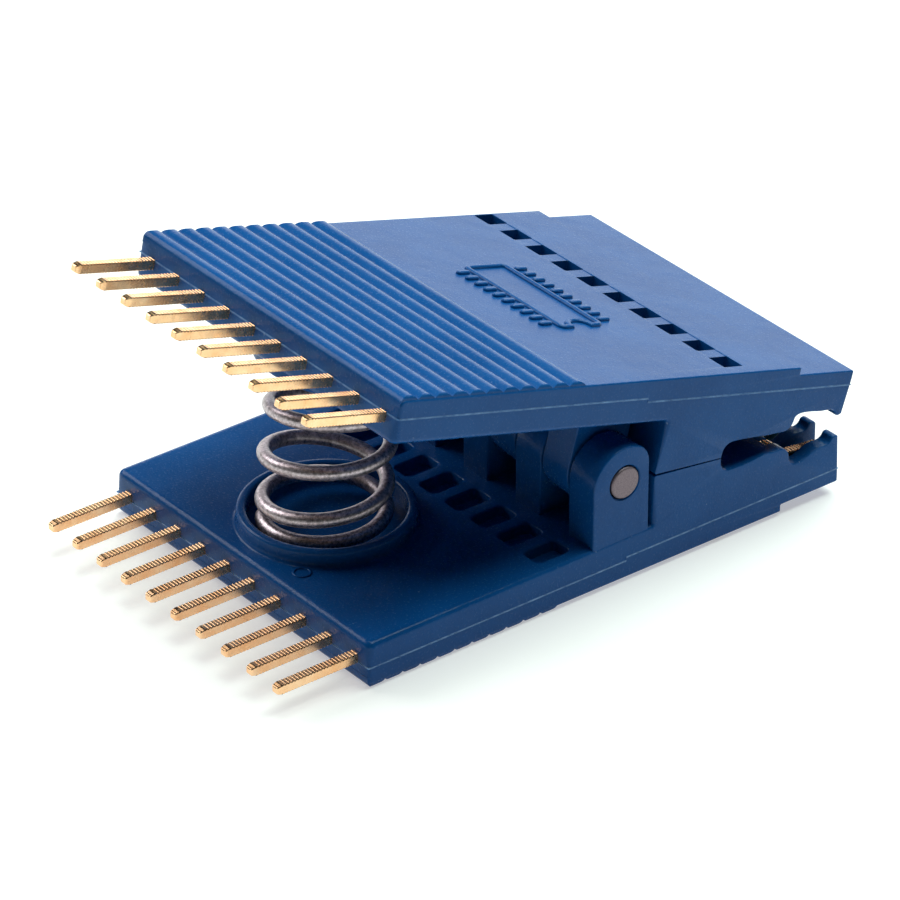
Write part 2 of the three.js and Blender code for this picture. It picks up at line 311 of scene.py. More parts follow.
def stack(name, rings_of_bodies, closed=False):
    """Closed solids, each skinned over rings of points. A closed one joins its last ring to its first."""
    bm = bmesh.new()
    for rings in rings_of_bodies:
        verts = [[bm.verts.new(point) for point in ring] for ring in rings]
        count = len(rings[0])
        pairs = list(zip(verts, verts[1:]))
        if closed:
            pairs.append((verts[-1], verts[0]))
        else:
            bm.faces.new(verts[0])
            bm.faces.new(verts[-1])
        for low, high in pairs:
            for i in range(count):
                j = (i + 1) % count
                bm.faces.new((low[i], low[j], high[j], high[i]))
    bmesh.ops.remove_doubles(bm, verts=bm.verts, dist=1e-4)
    bmesh.ops.dissolve_degenerate(bm, edges=bm.edges, dist=1e-4)
    bmesh.ops.recalc_face_normals(bm, faces=bm.faces)
    mesh = bpy.data.meshes.new(name)
    bm.to_mesh(mesh)
    bm.free()
    return new_object(name, mesh)


def slab_rings(outline, y_low, y_high, rim_steps=3, rounded=(True, True)):
    """Rings of an (x, z, rim) outline drawn out along Y, with its rims at either end rounded."""
    outline = clean(outline)
    steps = inward(outline)
    rings = []
    for end, sign, soft in ((y_low, 1, rounded[0]), (y_high, -1, rounded[1])):
        if not soft:
            rings.append([(x, end, z) for x, z, rim in outline])
            continue
        turns = range(rim_steps + 1)
        for k in reversed(turns) if sign > 0 else turns:
            angle = math.pi / 2 * k / rim_steps
            ring = []
            for (x, z, rim), step in zip(outline, steps):
                inset = rim * (1 - math.cos(angle))
                y = end + sign * rim * (1 - math.sin(angle))
                ring.append((x + step.x * inset, y, z + step.y * inset))
            rings.append(ring)
    return rings


def raised_rings(plan, base_z, top_z, rim, steps=3):
    """Rings of a plan outline drawn from base to top along Z, the top's rim rounded over."""
    move = inward(plan)
    sign = 1 if top_z > base_z else -1
    rings = [[(x, y, base_z) for x, y in plan]]
    for k in range(steps + 1):
        angle = math.pi / 2 * k / steps
        inset = rim * (1 - math.cos(angle))
        z = top_z - sign * rim * (1 - math.sin(angle))
        rings.append([(x + m.x * inset, y + m.y * inset, z) for (x, y), m in zip(plan, move)])
    return rings


def sunk_rings(plan, face_z, floor_z, flare, steps=3):
    """Rings of a cutter for a hole from a face to a floor, its mouth flared by a rounded edge."""
    move = inward(plan)
    sign = 1 if floor_z > face_z else -1
    rings = [[(x - m.x * flare, y - m.y * flare, face_z - sign * 0.4) for (x, y), m in zip(plan, move)]]
    for k in range(steps + 1):
        angle = math.pi / 2 * k / steps
        out = flare * (1 - math.sin(angle))
        z = face_z + sign * flare * (1 - math.cos(angle))
        rings.append([(x - m.x * out, y - m.y * out, z) for (x, y), m in zip(plan, move)])
    rings.append([(x, y, floor_z) for x, y in plan])
    return rings


def revolve(name, profile, steps, place):
    """A closed (radius, height) profile turned about an axis; place maps (a, b, height) to a point."""
    rings = []
    for k in range(steps):
        angle = 2 * math.pi * k / steps
        c, s = math.cos(angle), math.sin(angle)
        rings.append([place(r * c, r * s, h) for r, h in profile])
    return stack(name, [rings], closed=True)


def settle(obj):
    """Turns an object's modifiers into its mesh."""
    shown = obj.evaluated_get(bpy.context.evaluated_depsgraph_get())
    mesh = bpy.data.meshes.new_from_object(shown)
    obj.modifiers.clear()
    obj.data = mesh
    return obj


def combine(base, other, operation):
    """Joins, cuts or crosses base with another closed solid, which is used up."""
    step = base.modifiers.new("combine", "BOOLEAN")
    step.solver = "MANIFOLD"
    step.operation = operation
    step.object = other
    settle(base)
    bpy.data.objects.remove(other)
    return base


def finished(obj, sharp_degrees):
    """Millimetres to metres, with hair-thin faces closed up and smooth shading between sharp edges."""
    bm = bmesh.new()
    bm.from_mesh(obj.data)
    bmesh.ops.remove_doubles(bm, verts=bm.verts, dist=HAIR)
    bmesh.ops.dissolve_degenerate(bm, edges=bm.edges, dist=HAIR)
    bmesh.ops.triangulate(bm, faces=[face for face in bm.faces if len(face.verts) > 4])
    bm.to_mesh(obj.data)
    bm.free()
    obj.data.transform(Matrix.Scale(MM, 4))
    obj.data.shade_smooth()
    obj.data.set_sharp_from_angle(angle=math.radians(sharp_degrees))
    return obj


# ---- arm moulding --------------------------------------------------------------------------
def slot_edge(lip, rim):
    """The jaw's edge from the mating face round the end of the slot to the lip, as (x, z, rim).

    It is drawn along the shut jaws' shared plane and in height over it.
    """
    mate = -MATE_GAP / 2
    line = [(SLOT_START, mate)]
    line += bend(line[-1], (SLOT_START, -SLOT_DEPTH), (SLOT_START + 0.9, -SLOT_DEPTH), 12)
    line += bend(line[-1], (9.6, -SLOT_DEPTH * 0.98), (11.2, -lip - 0.08), 6)
    return [(*from_jaw_plane(a, -h), rim) for a, h in line]


def hook_edge(lip, mouth_deep, mouth_shallow, hook, rim):
    """A wall's edge from the lip through the mouth and over the hook, as (x, z, rim).

    It is drawn along the shut jaws' shared plane and in height over it.
    """
    line = [(COMB_START - 0.05, -lip - 0.03), (12.6, -lip)]
    line += bend(line[-1], (13.25, -lip - 0.1), (13.35, -lip - 0.75))
    line += bend(line[-1], (13.45, -mouth_deep), (13.95, -mouth_deep))
    middle = -(mouth_deep + mouth_shallow) / 2
    line += bend(line[-1], (14.5, -mouth_deep + 0.02), (15.0, middle), 6)
    line += bend(line[-1], (15.5, -mouth_shallow), (16.2, -mouth_shallow), 6)
    line += bend(line[-1], (16.68, -mouth_shallow + 0.05), (16.78, -hook - 0.12))
    line += bend(line[-1], (17.0, -hook + 0.06), (17.28, -hook - 0.12), 6)
    edge = [(*from_jaw_plane(a, -h), rim) for a, h in line]
    return [point for point in edge if point[0] < NOSE_X - HOOK_STOP]


def shell_edge():
    """The arm's edge from the heel round the grip and the outer face to the nose, as (x, z, rim)."""
    rear = from_jaw_plane(0, MATE_GAP / 2)
    mate_z = rear[1] - (HEEL_X - rear[0]) * math.tan(HALF_ANGLE)
    grip_x = GRIP_X + FLASH_PROUD
    nose_x = NOSE_X - FLASH_PROUD
    edge = filleted(
        [
            (HEEL_X, mate_z, 0.12, CRISP),
            (HEEL_X, INNER_Z, 0.2, 0.3),
            (grip_x, INNER_Z, GRIP_FILLET, GRIP_FILLET),
            (grip_x, OUTER_Z, 0.35, 0.16),
            (NOSE_STEP_X, OUTER_Z, 0.1, EDGE),
            (NOSE_STEP_X, NOSE_OUTER_Z, 0.08, EDGE),
            (nose_x, NOSE_OUTER_Z, 0.12, EDGE),
            (nose_x, NOSE_OUTER_Z + 0.6, 0, EDGE),
        ]
    )
    return edge


def body():
    """Grip plate and jaw block between the two sides, with the comb's floor but not its walls."""
    floor_z = from_jaw_plane(16.7, COMB_FLOOR)[1]
    floor = [(NOSE_X - FLASH_PROUD, floor_z, FINE)]
    step = [(13.45, COMB_FLOOR)]
    step += bend(step[-1], (13.35, 1.2), (12.9, 0.98), 5)
    step += [(COMB_START, 0.92), (COMB_START, 0.55), (COMB_START - 0.06, 0.5)]
    comb = [(*from_jaw_plane(a, d), FINE) for a, d in step]
    slot = slot_edge(LONG_HOOK[0], CRISP)
    reach = SIDE - WALL + 0.2
    edge = shell_edge() + floor + comb + slot[::-1]
    return stack("body", [slab_rings(edge, -reach, reach, rounded=(False, False))])


def sides():
    """The arm's two sides, each with an outer wall of the comb. One hook is longer than the other."""
    bodies = []
    for low, high, hook in ((-SIDE, WALL - SIDE, LONG_HOOK), (SIDE - WALL, SIDE, SHORT_HOOK)):
        edge = shell_edge() + hook_edge(*hook, EDGE)[::-1] + slot_edge(hook[0], CRISP)[::-1]
        bodies.append(slab_rings(edge, low, high, rounded=(low < 0, high > 0)))
    return stack("sides", bodies)


def comb_walls():
    """Nine insulating walls between the contacts."""
    bodies = []
    for i in range(CONTACTS - 1):
        middle = column_y(i + 0.5)
        edge = hook_edge(*LONG_HOOK, WALL_RIM)
        foot_z = from_jaw_plane(16.7, COMB_FLOOR + WALL_SUNK)[1]
        nose_x = NOSE_X - FLASH_PROUD - WALL_SETBACK
        foot = [(nose_x, edge[-1][1] - 0.12, WALL_RIM), (nose_x, foot_z, WALL_RIM)]
        foot += [(*from_jaw_plane(COMB_START - 0.5, COMB_FLOOR + WALL_SUNK), FINE)]
        foot += [(*from_jaw_plane(COMB_START - 0.5, 0.9), FINE)]
        bodies.append(slab_rings(edge + foot, middle - WALL / 2, middle + WALL / 2))
    return stack("walls", bodies)


def lugs():
    """Every second hinge lug, with a flat front."""
    shoulder = (LUG_RADIUS * math.cos(LUG_SHOULDER), LUG_RADIUS * math.sin(LUG_SHOULDER))
    corner_z = math.sqrt(LUG_RADIUS**2 - LUG_FRONT_X**2)
    turn = bend((LUG_FRONT_X, LUG_BEND_Z), (LUG_FRONT_X, corner_z), shoulder, 6)
    outline = [(LUG_FRONT_X, INNER_Z - LUG_SUNK, EDGE), (LUG_FRONT_X, LUG_BEND_Z, EDGE)]
    outline += [(x, z, EDGE) for x, z in turn[:-1]]
    steps = 26
    for k in range(steps + 1):
        angle = LUG_SHOULDER + (math.pi - LUG_SHOULDER) * k / steps
        outline.append((LUG_RADIUS * math.cos(angle), LUG_RADIUS * math.sin(angle), EDGE))
    outline.append((-LUG_RADIUS, INNER_Z - LUG_SUNK, EDGE))
    bodies = []
    for i in range(0, CONTACTS, 2):
        low = i * LUG_PITCH - HALF_WIDTH
        y_low = low + (LUG_SIDE_GAP if i else LUG_SETBACK)
        bodies.append(slab_rings(outline, y_low, low + LUG_PITCH - LUG_SIDE_GAP))
    return stack("lugs", bodies)


def pivot_hole():
    """The pin's hole, a touch wider at its mouths."""
    r, mouth = PIVOT_HOLE_RADIUS, HOLE_MOUTH
    end = HALF_WIDTH - LUG_SETBACK
    profile = [(0, -end - 1), (r + mouth, -end - 1), (r + mouth, -end), (r, -end + mouth)]
    profile += [(a, -b) for a, b in reversed(profile)]
    return revolve("hole", profile, 48, lambda a, b, h: (a, h, b))


def ribs():
    """Ribs across the outer face of the grip, rounded along their crests and down at their ends."""
    sunk = OUTER_Z + 0.5
    radius = (RIB_PITCH**2 / 4 + RIB_HEIGHT**2) / (2 * RIB_HEIGHT)
    spread = math.asin(RIB_PITCH / 2 / radius)
    start_x = GRIP_X + FLASH_PROUD / 2
    crests = [(start_x, sunk, 0), (start_x, OUTER_Z + 0.16, 0), (start_x + 0.05, OUTER_Z + 0.03, 0)]
    arc_steps = 12
    for rib in range(RIBS):
        middle = GRIP_X + (rib + 0.5) * RIB_PITCH
        for k in range(arc_steps + 1):
            angle = spread * (2 * k / arc_steps - 1)
            x = middle + radius * math.sin(angle)
            z = OUTER_Z - RIB_HEIGHT + radius * (1 - math.cos(angle))
            if x > start_x + 0.1:
                crests.append((x, z, 0))
    crests.append((GRIP_X + RIBS * RIB_PITCH + 0.1, OUTER_Z + 0.05, 0))
    crests.append((GRIP_X + RIBS * RIB_PITCH + 0.1, sunk, 0))
    half = HALF_WIDTH - RIB_INSET
    top = OUTER_Z - RIB_HEIGHT - 0.05
    ends = [(-half, sunk + 0.1), (-half, OUTER_Z)]
    ends += bend(ends[-1], (-half, top), (-half + RIB_END_ROUND, top), 10)
    ends += [(-y, z) for y, z in reversed(ends)]
    lengthwise = [[(x, y, z) for y, z in ends] for x in (GRIP_X - 1, 0)]
    across = stack("ribs", [slab_rings(crests, -half - 0.5, half + 0.5, 1)])
    return combine(across, stack("rib_ends", [lengthwise]), "INTERSECT")


def seat_ring():
    """Raised ring round the spring: rounded rim, flared foot."""
    foot = INNER_Z - 0.15
    mid = (SEAT_INNER_RADIUS + SEAT_RIM_RADIUS) / 2
    profile = [(SEAT_INNER_RADIUS, foot), (SEAT_FOOT_RADIUS + 0.1, foot)]
    profile += [(SEAT_FOOT_RADIUS + 0.1, INNER_Z)]
    profile += bend(profile[-1], (SEAT_RIM_RADIUS, INNER_Z), (SEAT_RIM_RADIUS, INNER_Z + 0.4), 5)
    profile += [(SEAT_RIM_RADIUS, SEAT_RIM_Z - 0.28)]
    profile += bend(profile[-1], (SEAT_RIM_RADIUS, SEAT_RIM_Z), (mid, SEAT_RIM_Z), 5)
    profile += bend(profile[-1], (SEAT_INNER_RADIUS, SEAT_RIM_Z), (SEAT_INNER_RADIUS, SEAT_RIM_Z - 0.2), 4)
    return revolve("seat_ring", profile, SEAT_STEPS, lambda a, b, h: (SEAT_X + a, b, h))


def seat_recess():
    """The round hole inside the seat ring."""
    top = INNER_Z + 0.5
    profile = [(0, SEAT_FLOOR_Z), (SEAT_INNER_RADIUS, SEAT_FLOOR_Z), (SEAT_INNER_RADIUS, top), (0, top)]
    return revolve("seat_recess", profile, SEAT_STEPS, lambda a, b, h: (SEAT_X + a, b, h))


def windows():
    """Square holes in the outer face, one over each contact."""
    bodies = []
    for i in range(CONTACTS):
        plan = round_rect(WINDOW_X, column_y(i) + WINDOW_SHIFT, WINDOW_SIZE, WINDOW_SIZE, 0.06, 2)
        bodies.append(sunk_rings(plan, OUTER_Z, WINDOW_FLOOR_Z, 0.05, 2))
    return stack("windows", bodies)


def window_band():
    """A very shallow sunk band that joins the windows."""
    length = (CONTACTS - 1) * PITCH + WINDOW_SIZE
    plan = round_rect(WINDOW_X, WINDOW_SHIFT, WINDOW_SIZE - 0.12, length, 0.2)
    return stack("band", [sunk_rings(plan, OUTER_Z, OUTER_Z + WINDOW_BAND_DEPTH, 0.03, 2)])


def pockets():
    """Round-cornered hollows in the inner face, one over each contact."""
    bodies = []
    for i in range(CONTACTS):
        plan = round_rect(POCKET_X, column_y(i) - WINDOW_SHIFT, POCKET_LENGTH, POCKET_WIDTH, 0.35)
        bodies.append(sunk_rings(plan, INNER_Z, POCKET_FLOOR_Z, 0.14))
    return stack("pockets", bodies)


def parting_line():
    """The thin flash that the two halves of the mould leave round the sides and ends."""
    bodies = []
    spans = ((GRIP_X, FLASH_STEP_X, FLASH_GRIP_Z), (FLASH_STEP_X, NOSE_X, FLASH_JAW_Z))
    for low, high, z in spans:
        plan = round_rect((low + high) / 2, 0, high - low, 2 * HALF_WIDTH, 0.05, 2)
        half = FLASH_THICK / 2
        move = inward(plan)
        rings = []
        root = FLASH_PROUD + 0.03
        for height, inset in ((-half, root), (-half / 3, 0), (half / 3, 0), (half, root)):
            shift = [(x + m.x * inset, y + m.y * inset) for (x, y), m in zip(plan, move)]
            rings.append([(x, y, z + height) for x, y in shift])
        bodies.append(rings)
    line = stack("parting_line", bodies)
    jog = round_rect(FLASH_STEP_X, 0, FLASH_THICK, 2 * HALF_WIDTH, 0.03, 2)
    rise = [[(x, y, z) for x, y in jog] for z in (FLASH_GRIP_Z, FLASH_JAW_Z)]
    return combine(line, stack("jog", [rise]), "UNION")


def package_mark():
    """A raised picture of the package that the clip fits: outline, end notch and leads."""
    length, width = MARK_BODY
    end = width / 2
    ends = ((length / 2, end), (length / 2, -end), (-length / 2, -end), (-length / 2, end))
    corners = [(MARK_X + x, y, MARK_CORNER, 0) for x, y in ends]
    loop = [(x, y) for x, y, _ in filleted(corners, 4)]
    for k in range(9):
        angle = math.pi + math.pi * k / 8
        loop.append((MARK_X + MARK_NOTCH * math.cos(angle), end + MARK_NOTCH * math.sin(angle)))
    move = inward(loop)
    half = MARK_STROKE / 2
    base, top = OUTER_Z + 0.2, OUTER_Z - MARK_HEIGHT
    section = [(-half, base), (-half, OUTER_Z)]
    section += bend(section[-1], (-half, top), (0, top), 4)
    section += bend((0, top), (half, top), (half, OUTER_Z), 4)
    section.append((half, base))
    outline = [[(x + m.x * d, y + m.y * d, z) for (x, y), m in zip(loop, move)] for d, z in section]
    mark = stack("mark", [outline], closed=True)
    leads = []
    pitch = (width - 0.5) / CONTACTS
    offset = length / 2 + half + 0.1 + MARK_LEAD[0] / 2
    for i in range(CONTACTS):
        y = (i - (CONTACTS - 1) / 2) * pitch
        for side in (-1, 1):
            plan = round_rect(MARK_X + side * offset, y, *MARK_LEAD, MARK_LEAD_CORNER)
            leads.append(raised_rings(plan, base, top, MARK_LEAD_RIM))
    return combine(mark, stack("leads", leads), "UNION")


def cavity_ring():
    """The small raised ring that tells one cavity of the mould from another."""
    profile = [(0.42, INNER_Z - 0.2), (0.62, INNER_Z - 0.2), (0.62, INNER_Z)]
    profile += bend(profile[-1], (0.6, INNER_Z + CAVITY_HEIGHT), (0.52, INNER_Z + CAVITY_HEIGHT), 3)
    profile += bend(profile[-1], (0.44, INNER_Z + CAVITY_HEIGHT), (0.42, INNER_Z), 3)
    return revolve("cavity_ring", profile, 32, lambda a, b, h: (CAVITY_X + a, CAVITY_Y + b, h))


def moulding():
    """One arm, in metres in its own frame."""
    arm = body()
    raised = (sides(), comb_walls(), lugs(), ribs(), seat_ring(), parting_line())
    for part in (*raised, package_mark(), cavity_ring()):
        combine(arm, part, "UNION")
    for cut in (pivot_hole(), seat_recess(), window_band(), windows(), pockets()):
        combine(arm, cut, "DIFFERENCE")
    return finished(arm, ARM_SHARP)


# ---- contacts, spring and pin --------------------------------------------------------------
def wire_line():
    """Middle line of a contact from the terminal tip to the end of its jaw pad, as (x, z) points."""
    line = [(TERMINAL_X, TERMINAL_Z), (0.6, TERMINAL_Z)]
    knee = [from_jaw_plane(*p) for p in ((11.9, 1.0), (12.55, 0.6), (13.5, 1.6), (14.2, 1.8))]
    corner = (1.6, TERMINAL_Z)
    bent = Vector(corner) * 0.9 + Vector(knee[0]) * 0.1
    crest = (Vector(knee[1]) + Vector(knee[2])) / 2
    line += bend(line[-1], corner, tuple(bent), 4)
    line += [knee[0]]
    line += bend(knee[0], knee[1], tuple(crest), 6)
    line += bend(line[-1], knee[2], knee[3], 6)
    line += [from_jaw_plane(16.85, 1.72)]
    return line


def along(line, distance):
    """Point and unit direction at a distance along a line of points."""
    for start, end in zip(line, line[1:]):
        a, b = Vector(start), Vector(end)
        length = (b - a).length
        if distance <= length or end == line[-1]:
            run = (b - a) / length
            return a + run * min(distance, length), run
        distance -= length


def stations(length, toothed):
    """(distance, half height, half width) of each section of a wire: pinched tip, teeth, plain runs."""
    half = WIRE / 2
    made = [(0, half * 0.5, half * 0.55), (0.03, half * 0.68, half * 0.8)]
    made += [(0.12, half * 0.78, half * 0.92), (0.36, half, half)]
    at = TIP_LENGTH
    while at < length - 0.1:
        if toothed(at + TOOTH / 2):
            made.append((at, half, half))
            made.append((at + TOOTH_CREST, half, half))
            made.append((at + (TOOTH + TOOTH_CREST) / 2, half - TOOTH_DEPTH, half))
        else:
            made.append((at, half, half))
        at += TOOTH
    made += [(length - 0.05, half, half), (length, half - 0.05, half - 0.05)]
    return made


def contact_wire(name):
    """A square wire with cross-cut teeth on its terminal pin, its knee and its jaw pad."""
    line = wire_line()
    length = sum(math.dist(a, b) for a, b in zip(line, line[1:]))
    pin_end = GRIP_X - TERMINAL_X + TOOTH_ROOT
    knee_start = length - TOOTHED_END
    c = WIRE_CORNER
    rings = []
    for distance, high, wide in stations(length, lambda at: at < pin_end or at > knee_start):
        point, run = along(line, distance)
        across = Vector((-run.y, run.x))
        corners = ((wide, high - c), (wide - c, high), (c - wide, high), (-wide, high - c))
        corners += tuple((-y, -z) for y, z in corners)
        rings.append([(point.x + across.x * z, y, point.y + across.y * z) for y, z in corners])
    return finished(stack(name, [rings]), WIRE_SHARP)


def spring_point(turn):
    """The spring's middle line. Its turns fan out about the line where the two seats' planes meet."""
    end_z = SEAT_FLOOR_Z + SPRING_WIRE / 2 + SPRING_SEAT_GAP
    hinge_x = -end_z / math.tan(HALF_ANGLE)
    rise = (hinge_x - SPRING_X) * CLOSED_ANGLE
    pitch = (rise - 2 * SPRING_END_PITCH) / (SPRING_TURNS - 2)

    def ramp(x):
        if x <= -SPRING_BLEND:
            return 0
        return x if x >= SPRING_BLEND else (x + SPRING_BLEND) ** 2 / (4 * SPRING_BLEND)

    extra = ramp(turn - 1) - ramp(turn - (SPRING_TURNS - 1))
    height = SPRING_END_PITCH * turn + (pitch - SPRING_END_PITCH) * extra
    fan = height / rise * CLOSED_ANGLE
    angle = SPRING_START + 2 * math.pi * turn
    arm = SPRING_X + SPRING_RADIUS * math.cos(angle) - hinge_x
    y = SPRING_RADIUS * math.sin(angle)
    return Vector((hinge_x + arm * math.cos(fan), y, end_z - arm * math.sin(fan)))


def spring_coil():
    """The round wire swept along the spring's middle line, in metres in the lower arm's frame."""
    per_turn, sides = 56, 20
    count = round(SPRING_TURNS * per_turn)
    middle = spring_point(SPRING_TURNS / 2)
    radius = SPRING_WIRE / 2
    rings = []
    for k in range(count + 1):
        turn = k / per_turn
        here = spring_point(turn)
        run = (spring_point(turn + 0.001) - spring_point(turn - 0.001)).normalized()
        out = Vector((here.x - middle.x, here.y, 0))
        out = (out - run * out.dot(run)).normalized()
        up = run.cross(out)
        shrink = 1 - SPRING_END_TAPER if k in (0, count) else 1
        ring = []
        for i in range(sides):
            angle = 2 * math.pi * i / sides
            ring.append(here + (out * math.cos(angle) + up * math.sin(angle)) * radius * shrink)
        rings.append(ring)
    return finished(stack("spring_coil", [rings]), SPRING_SHARP)


def turned_pin():
    """The pivot pin: rounded-off ends with a faint dish from the cutter."""
    radius = PIN_HIGH.z
    end = PIN_HIGH.y
    edge = 0.16
    side = [(0, end - 0.03), (radius * 0.6, end - 0.012), (radius - edge, end)]
    side += bend(side[-1], (radius - 0.02, end - 0.01), (radius, end - edge), 4)
    profile = side + [(r, -y) for r, y in reversed(side)]
    return finished(revolve("turned_pin", profile, 72, lambda a, b, h: (a, h, b)), PIN_SHARP)


# ---- materials -----------------------------------------------------------------------------
OWN_PLACE = "own_place"


class Nodes:
    """A new node material, with short calls to add and join its nodes."""

    def __init__(self, name):
        self.material = bpy.data.materials.new(name)
        self.material.use_nodes = True
        self.tree = self.material.node_tree
        self.shader = self.tree.nodes["Principled BSDF"]
        own = self.tree.nodes.new("ShaderNodeAttribute")
        own.attribute_name = OWN_PLACE
        self.place = own.outputs["Vector"]

    def add(self, kind, **inputs):
        node = self.tree.nodes.new(kind)
        for key, value in inputs.items():
            self.join(value, node.inputs[key.replace("_", " ")])
        return node

    def join(self, value, socket):
        if isinstance(value, bpy.types.NodeSocket):
            self.tree.links.new(value, socket)
        else:
            socket.default_value = value

    def set(self, socket, value):
        self.join(value, self.shader.inputs[socket])

    def noise(self, size_mm, detail=3.0, roughness=0.55):
        """Noise whose blotches are about this many millimetres across."""
        node = self.add("ShaderNodeTexNoise", Scale=1 / (size_mm * MM), Detail=detail, Roughness=roughness)
        self.join(self.place, node.inputs["Vector"])
        return node.outputs["Fac"]

    def ramp(self, value, low, high, to_low=0.0, to_high=1.0):
        node = self.add("ShaderNodeMapRange", Value=value, From_Min=low, From_Max=high)
        node.inputs["To Min"].default_value = to_low
        node.inputs["To Max"].default_value = to_high
        return node.outputs["Result"]

    def mix(self, share, low, high):
        node = self.tree.nodes.new("ShaderNodeMix")
        node.data_type = "RGBA"
        self.join(share, node.inputs[0])
        self.join(low, node.inputs[6])
        self.join(high, node.inputs[7])
        return node.outputs[2]

    def math(self, kind, a, b=0):
        node = self.tree.nodes.new("ShaderNodeMath")
        node.operation = kind
        self.join(a, node.inputs[0])
        self.join(b, node.inputs[1])
        return node.outputs[0]

    def bump(self, height, depth_mm):
        node = self.add("ShaderNodeBump", Height=height, Distance=depth_mm * MM, Strength=1.0)
        self.set("Normal", node.outputs["Normal"])


def moulded_blue():
    """Blue moulded plastic: fine grain, faint flow marks, pale parting line, a few specks of dust."""
    m = Nodes("moulded_blue")
    grain = m.noise(0.16, 2.0)
    flow = m.noise(5.0, 4.0, 0.6)
    base = m.mix(m.ramp(flow, 0.35, 0.65), (0.002, 0.055, 0.206, 1), (0.004, 0.067, 0.238, 1))
    base = m.mix(m.ramp(grain, 0.4, 0.75, 0, 0.1), base, (0.010, 0.108, 0.32, 1))
    own = m.add("ShaderNodeSeparateXYZ", Vector=m.place)
    behind = m.math("LESS_THAN", own.outputs["X"], FLASH_STEP_X * MM)
    middle = m.math("MULTIPLY_ADD", behind, (FLASH_GRIP_Z - FLASH_JAW_Z) * MM)
    middle.node.inputs[2].default_value = FLASH_JAW_Z * MM
    off = m.math("ABSOLUTE", m.math("SUBTRACT", own.outputs["Z"], middle))
    ragged = m.ramp(m.noise(0.6, 4.0, 0.7), 0.3, 0.7, 0.2, 1.0)
    line = m.math("MULTIPLY", m.ramp(off, 0.035 * MM, 0.08 * MM, 1, 0), ragged)
    base = m.mix(m.math("MULTIPLY", line, 0.75), base, (0.20, 0.36, 0.62, 1))
    specks = m.ramp(m.noise(0.35, 1.0), 0.79, 0.82, 0, 0.25)
    base = m.mix(specks, base, (0.3, 0.42, 0.6, 1))
    m.set("Base Color", base)
    m.set("Roughness", m.ramp(grain, 0.3, 0.7, 0.2, 0.29))
    m.set("Specular IOR Level", 0.14)
    m.bump(m.math("ADD", grain, m.math("MULTIPLY", m.noise(1.2, 2.0), 1.5)), 0.018)
    return m.material


def gold_plate():
    """Thin gold over bright wire: warm, with painted shade between the teeth of the terminal pins."""
    m = Nodes("gold_plate")
    film = m.noise(1.1, 3.0, 0.55)
    base = m.mix(m.ramp(film, 0.3, 0.7), (0.93, 0.50, 0.24, 1), (1.0, 0.67, 0.40, 1))
    own = m.add("ShaderNodeSeparateXYZ", Vector=m.place)
    along_pin = m.math("SUBTRACT", own.outputs["X"], (TERMINAL_X + TIP_LENGTH) * MM)
    phase = m.math("FRACT", m.math("DIVIDE", along_pin, TOOTH * MM))
    from_valley = m.math("ABSOLUTE", m.math("SUBTRACT", phase, (1 + TOOTH_CREST / TOOTH) / 2))
    from_middle = m.math("ABSOLUTE", m.math("SUBTRACT", own.outputs["Z"], TERMINAL_Z * MM))
    cut = m.math("GREATER_THAN", from_middle, (WIRE / 2 - TOOTH_DEPTH * 1.5) * MM)
    on_pin = m.math("LESS_THAN", own.outputs["X"], GRIP_X * MM)
    # painted shade: the colour is darkened in the valleys between the pins' teeth, standing in for the
    # shade and dark reflections there
    painted_valley_shade = m.math("MULTIPLY", m.ramp(from_valley, 0.12, 0.24, 0.96, 0), m.math("MULTIPLY", cut, on_pin))
    base = m.mix(painted_valley_shade, base, (0.07, 0.035, 0.02, 1))
    m.set("Base Color", base)
    m.set("Metallic", 1.0)
    m.set("Roughness", m.ramp(m.noise(0.5, 2.0), 0.3, 0.7, 0.2, 0.3))
    return m.material


def turned_steel():
    """Cut steel with a mottled, slightly pink end."""
    m = Nodes("turned_steel")
    spots = m.noise(0.11, 3.0, 0.7)
    base = m.mix(m.ramp(spots, 0.35, 0.65), (0.13, 0.10, 0.12, 1), (0.24, 0.19, 0.21, 1))
    m.set("Base Color", base)
    m.set("Metallic", 0.85)
    m.set("Roughness", m.ramp(spots, 0.3, 0.7, 0.38, 0.58))
    m.bump(spots, 0.01)
    return m.material


def spring_steel():
    """Hard-drawn wire with a dark oxide that is rubbed bright in specks."""
    m = Nodes("spring_steel")
    mottle = m.noise(0.22, 5.0, 0.75)
    broad = m.noise(1.6, 3.0)
    base = m.mix(m.ramp(mottle, 0.35, 0.65), (0.17, 0.14, 0.15, 1), (0.80, 0.70, 0.74, 1))
    base = m.mix(m.ramp(broad, 0.35, 0.7, 0, 0.4), base, (0.34, 0.28, 0.29, 1))
    m.set("Base Color", base)
    m.set("Metallic", 0.9)
    m.set("Roughness", m.ramp(mottle, 0.3, 0.7, 0.3, 0.46))
    m.bump(mottle, 0.012)
    return m.material


def floor_paper():
    m = Nodes("floor_paper")
    base = m.mix(m.noise(40.0, 2.0), (0.59, 0.59, 0.59, 1), (0.62, 0.62, 0.62, 1))
    m.set("Base Color", base)
    m.set("Roughness", 0.9)
    m.set("Emission Color", (1, 1, 1, 1))
    m.set("Emission Strength", 0.42)
    return m.material


# ---- placing -------------------------------------------------------------------------------
def dress(obj, material):
    obj.data.materials.clear()
    obj.data.materials.append(material)
    return obj


def bake(obj, matrix):
    """Notes where each point is on the piece itself, for its material, then moves the mesh."""
    mesh = obj.data
    points = [value for vertex in mesh.vertices for value in vertex.co]
    own = mesh.attributes.new(OWN_PLACE, "FLOAT_VECTOR", "POINT")
    own.data.foreach_set("vector", points)
    mesh.transform(matrix)
    return obj


def place(obj, matrix, body_name, *nodes):
    """Moves a piece to its place, where it rides on a body and stands for its nodes."""
    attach(bake(obj, matrix), body_name)
    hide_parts(*nodes)


